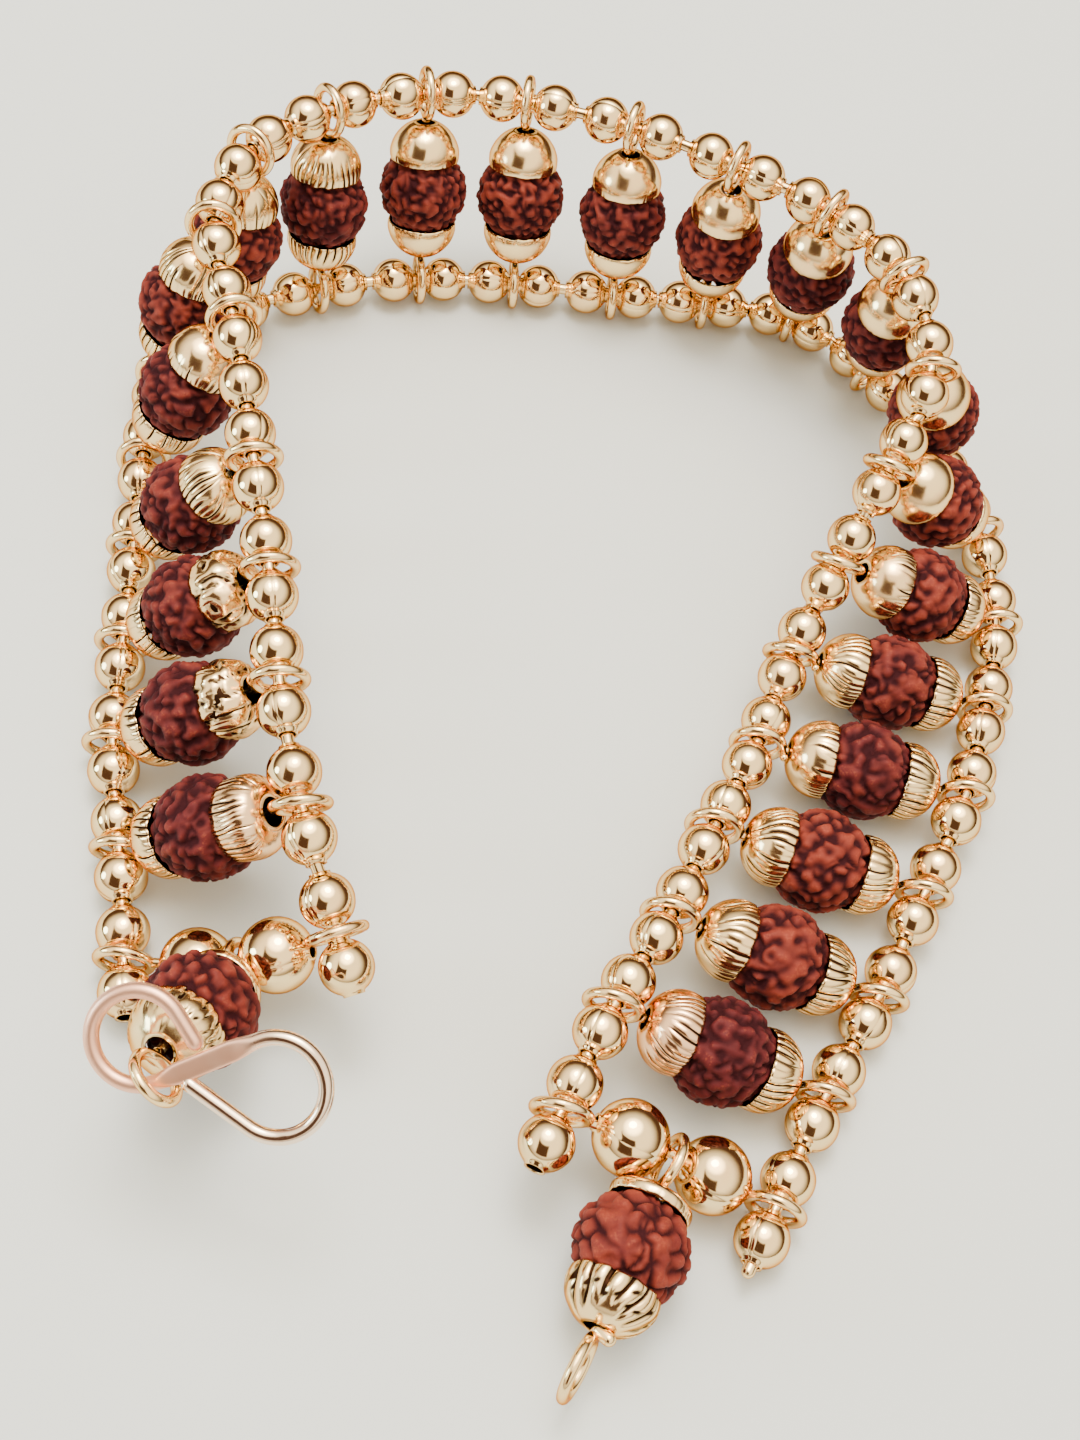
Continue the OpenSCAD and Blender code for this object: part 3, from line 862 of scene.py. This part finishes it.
def thread_path(middles, radius, nub):
    """Through every ball of a chain, from inside its first ball to inside its last, or out to a nub."""
    ways = ways_along(middles)
    path = np.repeat(middles, 2, axis=0)
    path[0::2] -= np.array(ways) * radius
    path[1::2] += np.array(ways) * radius
    path[0] += ways[0] * THREAD_INSET
    path[-1] = middles[-1] + ways[-1] * (nub if nub else radius - THREAD_INSET)
    return path


def nub_grid(middle, way, radius, reach):
    """The pointed nub that closes a chain's last ball."""
    path = middle + np.outer(np.linspace(radius - NUB_ROOT, reach, NUB_ROWS), way)
    widths = np.linspace(*NUB_WIDTHS, NUB_ROWS)
    return Grid(sweep(path, widths, widths, sides=NUB_SIDES), 0.0, False)


def wire_end_grids():
    """The cut ends of wire that show: a knob at the foot of the eye and tips beside two of the rings."""
    front = ENDS["eye"][1]
    foot = front.middle + (front.length + KNOB_FOOT) * front.way
    grids = [wire_grid([foot + np.array(KNOB_FROM) * MM, foot + np.array(KNOB_TO) * MM], KNOB_WIDTH)]
    for rung in TIPPED_RUNGS:
        cap = RUNGS[rung - 1][2]
        foot = cap.middle + (cap.length + TIP_FOOT) * cap.way
        grids.append(wire_grid([foot, foot + np.array(TIP_TO) * MM], TIP_WIDTH))
    return grids


# Hook

# Steps along the hook's tip, each of its loops, its bar and its tail, and points round its wire
TIP_STEPS = 8
LOOP_STEPS = 55
BAR_STEPS = 41
TAIL_STEPS = 14
HOOK_SIDES = 28
# The share of the bar in which it flattens at each end, and what its squareness adds to an ellipse's power
BAR_TAPER = 0.26
BAR_POWER = 3.5
# How many steps past the bar the satin ends, and how many steps it fades in
SATIN_PAST = 6
SATIN_FADE = 12


def arc(middle, radius, start, end):
    turn = np.radians(np.linspace(start, end, LOOP_STEPS + 1))
    return np.stack([middle + radius * np.cos(turn), radius * np.sin(turn), 0 * turn], -1)


def straight(start, degrees, reach):
    """Points from start in a direction, at each reach."""
    turn = math.radians(degrees)
    return start + np.outer(reach, [math.cos(turn), math.sin(turn), 0])


def hook_grid():
    """The S-hook: a satin closed loop, a flattened bar that crosses over, and an open loop."""
    cross = math.degrees(math.asin((CLOSED_LOOP + OPEN_LOOP) / HOOK_SPAN))
    closed = arc(0, CLOSED_LOOP, CLOSED_FROM, 270 + cross)
    opened = arc(HOOK_SPAN, OPEN_LOOP, 90 + cross, OPEN_TO)
    tip = straight(closed[0], CLOSED_FROM - 90, np.linspace(HOOK_TIP, 0, TIP_STEPS + 1)[:-1])
    tail = straight(opened[-1], OPEN_TO - 90, np.linspace(0, HOOK_TAIL, TAIL_STEPS + 1)[1:])
    along = np.linspace(0, 1, BAR_STEPS + 1)[1:-1]
    bar = closed[-1] + np.outer(along, opened[0] - closed[-1])
    path, share = rounded_ends(np.concatenate([tip, closed, bar, opened, tail]), HOOK_WIRE)
    first = END_ROWS + len(tip) + len(closed)
    last = first + len(bar)
    flat = np.zeros(len(path))
    flat[first:last] = np.clip(np.minimum(along, 1 - along) / BAR_TAPER, 0, 1)
    flat = flat**2 * (3 - 2 * flat)
    widths = share * (HOOK_WIRE + flat * (HOOK_BAR[0] - HOOK_WIRE))
    heights = share * (HOOK_WIRE + flat * (HOOK_BAR[1] - HOOK_WIRE))
    local = sweep(path, widths, heights, ELLIPSE + BAR_POWER * flat, HOOK_SIDES)
    x, y, z = (math.radians(turn) for turn in HOOK_TILT)
    tilt = Matrix.Rotation(y, 3, "Y") @ Matrix.Rotation(x, 3, "X") @ Matrix.Rotation(z, 3, "Z")
    points = local @ np.array(tilt).T
    low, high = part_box("s_hook")
    here = (points.reshape(-1, 3).min(0) + points.reshape(-1, 3).max(0)) / 2
    points += np.array(low + high) / 2 - here
    satin = np.clip((last + SATIN_PAST - np.arange(len(path))) / SATIN_FADE, 0, 1)
    return Grid(points, satin[:, None], False)


# Settings that a user would change


def length_setting(name, description, default):
    return FloatProperty(
        name=name,
        description=description,
        default=default,
        min=0,
        precision=5,
        unit="LENGTH",
        subtype="DISTANCE",
    )


def color_setting(name, description, default):
    return FloatVectorProperty(
        name=name, description=description, default=default, min=0, max=1, subtype="COLOR"
    )


def power_setting(name, description, default, unit="NONE"):
    return FloatProperty(name=name, description=description, default=default, min=0, unit=unit)


class BeadLooks(PropertyGroup):
    lump_size: length_setting("Lump size", "Usual width of a lump on a rudraksha bead", 0.8 * MM)
    furrow_depth: length_setting("Furrow depth", "How far the furrows go below the lumps", 0.34 * MM)
    lump_color: color_setting("Lumps", "Terracotta of the lumps", (0.215, 0.032, 0.02))
    dark_lump_color: color_setting("Dark lumps", "Purple brown of the darker lumps", (0.1, 0.013, 0.015))
    worn_color: color_setting("Worn grain", "Paler grain where the skin is worn", (0.38, 0.085, 0.04))
    # Painted shade: the dark colour of the furrows
    furrow_shade_color: color_setting("Furrows", "Purple black in the furrows", (0.026, 0.003, 0.005))


class MetalLooks(PropertyGroup):
    gold_color: color_setting("Gold", "Pale rose gold of balls, caps and wires", (1.0, 0.73, 0.36))
    edge_color: color_setting("Gold at its edges", "Tint of the gold seen edge on", (0.62, 0.27, 0.1))
    stain_color: color_setting("Stains", "Redder gold of the faint stains", (0.95, 0.55, 0.26))
    rosy_color: color_setting("Rosy gold", "Copper pink of the rosier caps", (0.93, 0.5, 0.32))
    # Painted shade: the dark brown of grooves, seams, bores and the caps' insides
    groove_shade_color: color_setting("Groove shade", "Dark metal in grooves and seams", (0.025, 0.01, 0.005))
    cap_wall: length_setting("Cap wall", "Thickness of the caps' sheet", 0.2 * MM)
    collar_height: length_setting("Collar height", "How far a ball's collar stands out", 0.13 * MM)
    seam_depth: length_setting("Seam depth", "Depth of the seam between a ball's halves", 0.02 * MM)
    dent_depth: length_setting("Dent depth", "Depth of the shallow dents in the balls", 0.008 * MM)


class HookLooks(PropertyGroup):
    rose_color: color_setting("Rose", "Rose gold of the hook's satin half", (0.92, 0.51, 0.35))
    scuff_color: color_setting("Scuffs", "Paler rose where the satin is rubbed", (0.97, 0.65, 0.49))
    bright_color: color_setting("Bright", "Polished gold of the open loop", (0.95, 0.74, 0.56))


class StageLooks(PropertyGroup):
    floor_color: color_setting("Floor", "Pale floor that the bracelet lies on", (0.66, 0.7, 0.71))
    sky_color: color_setting("Overhead", "Warm cream of the soft light overhead", (1.0, 0.9, 0.72))
    room_color: color_setting("Room", "Dark brown towards the horizon", (0.05, 0.025, 0.015))
    sky_power: power_setting("Room light", "Strength of the room's light", 2.4)
    glow_power: power_setting("Glow", "How much stronger the room's light is overhead", 7.0)
    key_power: power_setting("Key light", "Power of the soft light over the bracelet", 0.7, "POWER")
    fill_power: power_setting("Fill light", "Power of the cooler light from the left", 0.5, "POWER")


# Operators


class BRACELET_OT_stage(Operator):
    """Set up the camera, the soft lights and the pale floor"""

    bl_idname = "bracelet.stage"
    bl_label = "Stage"

    def execute(self, context):
        looks = context.scene.bracelet_stage
        self.add_camera(context)
        self.add_light(context, "key_light", looks.key_power, KEY_COLOR, KEY_PLACE)
        self.add_light(context, "fill_light", looks.fill_power, FILL_COLOR, FILL_PLACE)
        context.scene.world = bpy.data.worlds.new("room")
        light_room(context.scene.world, looks)
        self.add_floor(context, looks)
        return {"FINISHED"}

    def add_camera(self, context):
        data = bpy.data.cameras.new("photo_camera")
        data.lens = data.sensor_width * FOCAL_LENGTH / PHOTO_HEIGHT
        data.clip_start = CAMERA_NEAR
        camera = bpy.data.objects.new("photo_camera", data)
        context.scene.collection.objects.link(camera)
        level = Matrix.Rotation(math.pi / 2 - CAMERA_ELEVATION, 4, "X")
        back = level.to_3x3() @ Vector((0, 0, 1))
        place = Matrix.Translation(CAMERA_TARGET + CAMERA_DISTANCE * back)
        camera.matrix_world = place @ level @ Matrix.Rotation(CAMERA_ROLL, 4, "Z")
        context.scene.camera = camera

    def add_light(self, context, name, power, color, place):
        data = bpy.data.lights.new(name, "AREA")
        data.energy = power
        data.color = color
        data.shape = "DISK"
        data.size = LIGHT_WIDTH
        light = bpy.data.objects.new(name, data)
        light.location = place
        light.rotation_euler = (-Vector(place)).to_track_quat("-Z", "Y").to_euler()
        context.scene.collection.objects.link(light)

    def add_floor(self, context, looks):
        mesh = bpy.data.meshes.new("floor")
        corners = [(x * FLOOR_REACH, y * FLOOR_REACH, 0) for x, y in ((-1, -1), (1, -1), (1, 1), (-1, 1))]
        mesh.from_pydata(corners, [], [(0, 1, 2, 3)])
        mesh.materials.append(floor_finish(looks))
        floor = bpy.data.objects.new("floor", mesh)
        context.scene.collection.objects.link(floor)


class BRACELET_OT_rudraksha(Operator):
    """Model the lumpy rudraksha beads"""

    bl_idname = "bracelet.rudraksha"
    bl_label = "Rudraksha beads"

    def execute(self, context):
        looks = context.scene.bracelet_beads
        finish = rudraksha_finish(looks)
        beads = []
        for node, rung, lumps, tone in zip(RUNG_NODES, RUNGS, RUNG_LUMPS, RUNG_TONES):
            beads.append((node, rung[0], int(lumps), RUNG_HOLLOW_SHADE, int(tone)))
        for end, parts in ENDS.items():
            beads.append((f"{end}_rudraksha", parts[0], END_LUMPS[end], END_HOLLOW_SHADE[end], END_TONES[end]))
        for seed, (node, bead, lumps, hollow_shade, tone) in enumerate(beads):
            grid = bead_grid(bead, looks, lumps / LUMP_STEPS, hollow_shade, seed)
            tones = [tone / TONE_STEPS]
            add_piece(f"{node}_seed", [grid], finish, [node], tones=tones)
        return {"FINISHED"}


class BRACELET_OT_caps(Operator):
    """Model the pleated, creased and smooth caps"""

    bl_idname = "bracelet.caps"
    bl_label = "Caps"

    def execute(self, context):
        looks = context.scene.bracelet_metal
        finish = gold_finish("caps", looks)
        kinds = {name[0]: kind for name, kind in CAP_KINDS.items()}
        groups = {
            "lower_caps": [(rung[1], kinds[letter]) for rung, letter in zip(RUNGS, LOWER_CAPS)],
            "upper_caps": [(rung[2], kinds[letter]) for rung, letter in zip(RUNGS, UPPER_CAPS)],
        }
        for end, (bead, front, back) in ENDS.items():
            first, second = END_CAPS[end]
            groups[f"{end}_caps"] = [(front, kinds[first]), (back, kinds[second])]
        seed = 0
        for node, caps in groups.items():
            grids = []
            for cap, kind in caps:
                seed += 1
                grids.append(cap_grid(cap, kind, looks, seed))
            tones = [kind.rose for cap, kind in caps]
            add_piece(f"{node}_pressed", grids, finish, [node], tones=tones)
        return {"FINISHED"}


class BRACELET_OT_balls(Operator):
    """Model the small balls of the chains and the larger balls of the end rungs"""

    bl_idname = "bracelet.balls"
    bl_label = "Balls"

    def execute(self, context):
        looks = context.scene.bracelet_metal
        finish = gold_finish("balls", looks)
        for seed, node in enumerate(("upper_chain_balls", "lower_chain_balls")):
            grids = chain_grids(node, looks, CHAIN_SEEDS * seed)
            add_piece(f"{node}_polished", grids, finish, [node])
        for end, seeds in END_BALL_SEEDS.items():
            nodes = [f"{end}_end_ball_{side}" for side in ("low", "high")]
            balls = [ball_through(np.concatenate(solids(node))) for node in nodes]
            way = unit(balls[1][0] - balls[0][0])
            for node, (middle, radius), seed in zip(nodes, balls, seeds):
                grid = ball_grid(middle, radius, way, PIN_BORE, looks, seed)
                add_piece(f"{node}_polished", [grid], finish, [node])
        return {"FINISHED"}


class BRACELET_OT_wires(Operator):
    """Model the chains' wires and finish the rings and pins"""

    bl_idname = "bracelet.wires"
    bl_label = "Wires, rings and pins"

    def execute(self, context):
        finish = gold_finish("wire", context.scene.bracelet_metal)
        for chain, nub in (("upper", 0), ("lower", NUB)):
            middles, radius = measured_chain(f"{chain}_chain_balls")
            grids = [wire_grid(thread_path(middles, radius, nub), THREAD)]
            if nub:
                grids.append(nub_grid(middles[-1], ways_along(middles)[-1], radius, nub))
            add_piece(f"{chain}_chain_thread", grids, finish, [f"{chain}_chain_wire"])
        add_piece("wire_ends", wire_end_grids(), finish, [])
        for node in ("rung_pins", "end_pins", "hook_pin", "eye_pin"):
            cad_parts[node].data.materials.clear()
            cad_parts[node].data.materials.append(finish)
        return {"FINISHED"}


class BRACELET_OT_hook(Operator):
    """Model the S-hook"""

    bl_idname = "bracelet.hook"
    bl_label = "S-hook"

    def execute(self, context):
        finish = hook_finish(context.scene.bracelet_hook)
        add_piece("s_hook_wire", [hook_grid()], finish, ["s_hook"], mark="satin")
        return {"FINISHED"}


STEPS = ("stage", "rudraksha", "caps", "balls", "wires", "hook")


class BRACELET_PT_sidebar(Panel):
    bl_label = "Bracelet"
    bl_space_type = "VIEW_3D"
    bl_region_type = "UI"
    bl_category = "Bracelet"

    def draw(self, context):
        for step in STEPS:
            self.layout.operator(f"bracelet.{step}")
        for name in SETTINGS:
            looks = getattr(context.scene, name)
            for prop in looks.bl_rna.properties.keys():
                if prop not in ("rna_type", "name"):
                    self.layout.prop(looks, prop)


SETTINGS = {
    "bracelet_beads": BeadLooks,
    "bracelet_metal": MetalLooks,
    "bracelet_hook": HookLooks,
    "bracelet_stage": StageLooks,
}
CLASSES = (
    *SETTINGS.values(),
    BRACELET_OT_stage,
    BRACELET_OT_rudraksha,
    BRACELET_OT_caps,
    BRACELET_OT_balls,
    BRACELET_OT_wires,
    BRACELET_OT_hook,
    BRACELET_PT_sidebar,
)


def register():
    for cls in CLASSES:
        bpy.utils.register_class(cls)
    for name, group in SETTINGS.items():
        setattr(bpy.types.Scene, name, PointerProperty(type=group))


def unregister():
    for name in SETTINGS:
        delattr(bpy.types.Scene, name)
    for cls in reversed(CLASSES):
        bpy.utils.unregister_class(cls)


def main():
    register()
    for step in STEPS:
        getattr(bpy.ops.bracelet, step)()


if __name__ == "__main__":
    main()
